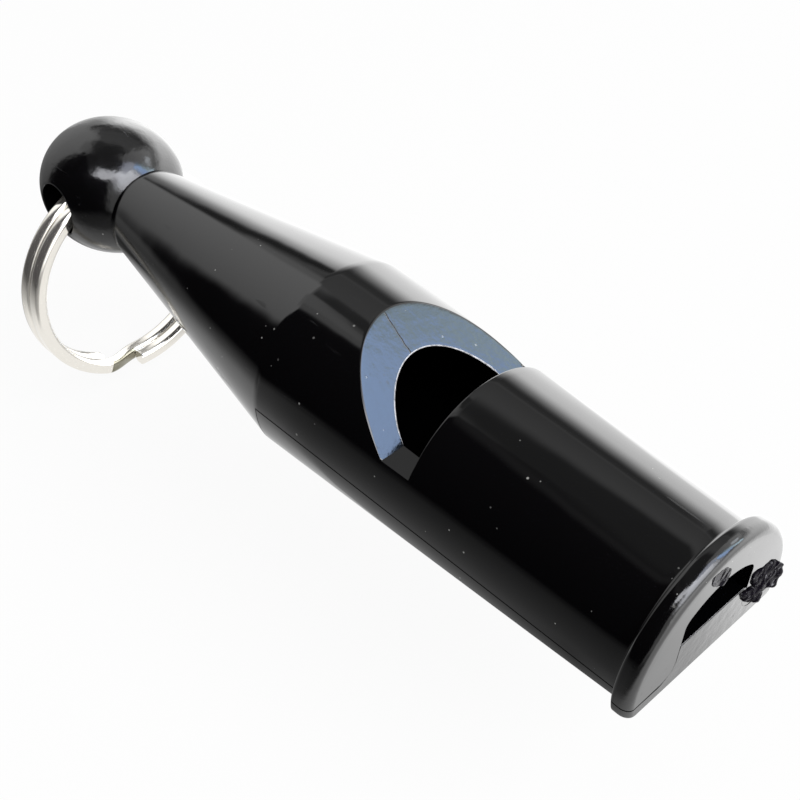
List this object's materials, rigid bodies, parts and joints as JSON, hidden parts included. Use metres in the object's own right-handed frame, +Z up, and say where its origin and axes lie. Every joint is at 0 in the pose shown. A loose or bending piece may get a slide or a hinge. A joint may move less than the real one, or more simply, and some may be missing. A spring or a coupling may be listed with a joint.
{
  "type": "dog whistle",
  "caption": "Pealess dog whistle: tapered round barrel with a sound window and flat sole, fipple insert, lipped mouthpiece, coned tail with a ball end, and a swinging split ring.",
  "frame": {"origin": "on the flat sole, half way along the barrel, in the middle of its width", "axes": "+X along the whistle from tail to mouth, +Z up, square to the sole, +Y to the left when looking towards the mouth"},
  "size_m": [0.0785, 0.0234, 0.0282],
  "materials": {
    "body_plastic": "polished black",
    "insert_plastic": "polished black",
    "ring_nickel": "bright nickel plate"
  },
  "bodies": {
    "whistle": {"whistle_body": "body_plastic", "fipple_insert": "insert_plastic"},
    "ring": {"split_ring": "ring_nickel"}
  },
  "joints": [
    {"name": "ring_swing", "type": "hinge", "parent": "whistle", "child": "ring", "pos_m": [-0.0516, 0, 0.00654], "axis": [0, 1, 0], "range_deg": [-66, 249]}
  ]
}
